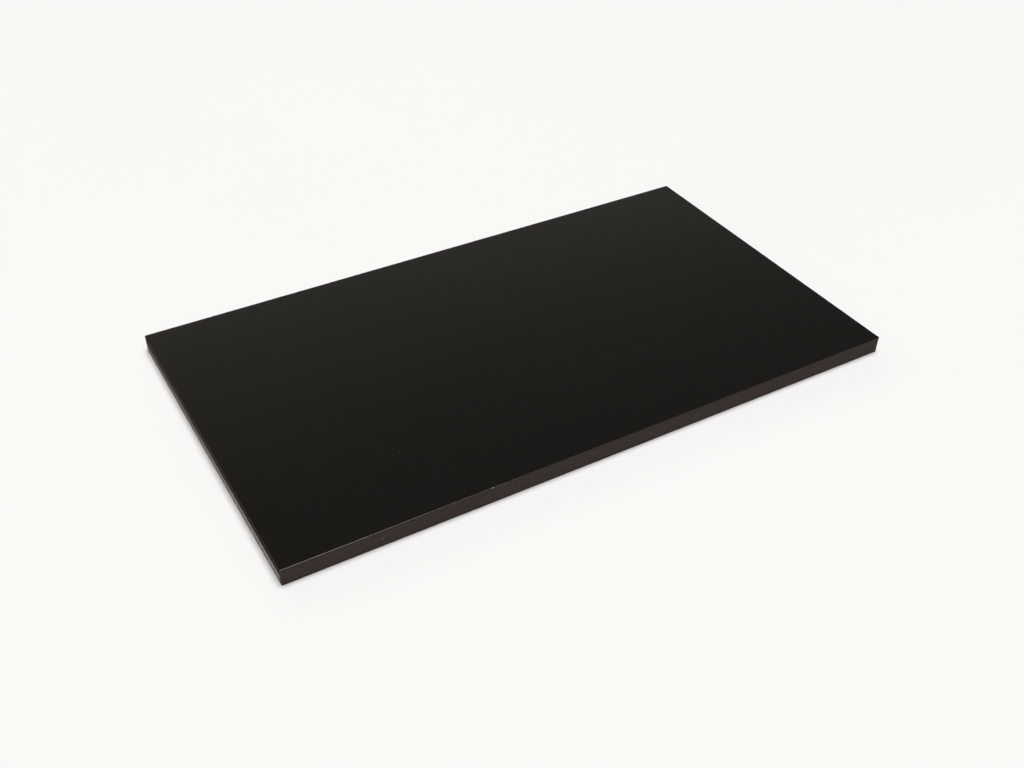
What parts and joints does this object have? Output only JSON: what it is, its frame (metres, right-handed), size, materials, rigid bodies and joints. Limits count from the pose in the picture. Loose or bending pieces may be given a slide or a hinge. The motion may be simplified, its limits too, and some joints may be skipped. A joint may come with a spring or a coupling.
{
  "type": "kick plate",
  "caption": "Flat rectangular door kick plate: board faced with black laminate that runs out over its plastic edge bands, with a plain back face for gluing or screwing on.",
  "frame": {"origin": "centre of the plate's back face, the face that goes against the door", "axes": "+X along the plate's length, +Y along its height on the door, away from the edge nearest the viewer, +Z out of the door, through the laminate face"},
  "size_m": [0.64, 0.36, 0.0176],
  "materials": {
    "particleboard": "raw pressed wood chips",
    "black_laminate": "satin, very fine pearl texture, eased rim",
    "backing_laminate": "dull, lightly sanded",
    "edge_band_abs": "satin, drawn lengthways"
  },
  "bodies": {
    "root": {"core_board": "particleboard", "face_laminate": "black_laminate", "backing_laminate": "backing_laminate", "front_edge_band": "edge_band_abs", "back_edge_band": "edge_band_abs", "left_edge_band": "edge_band_abs", "right_edge_band": "edge_band_abs"}
  },
  "joints": []
}
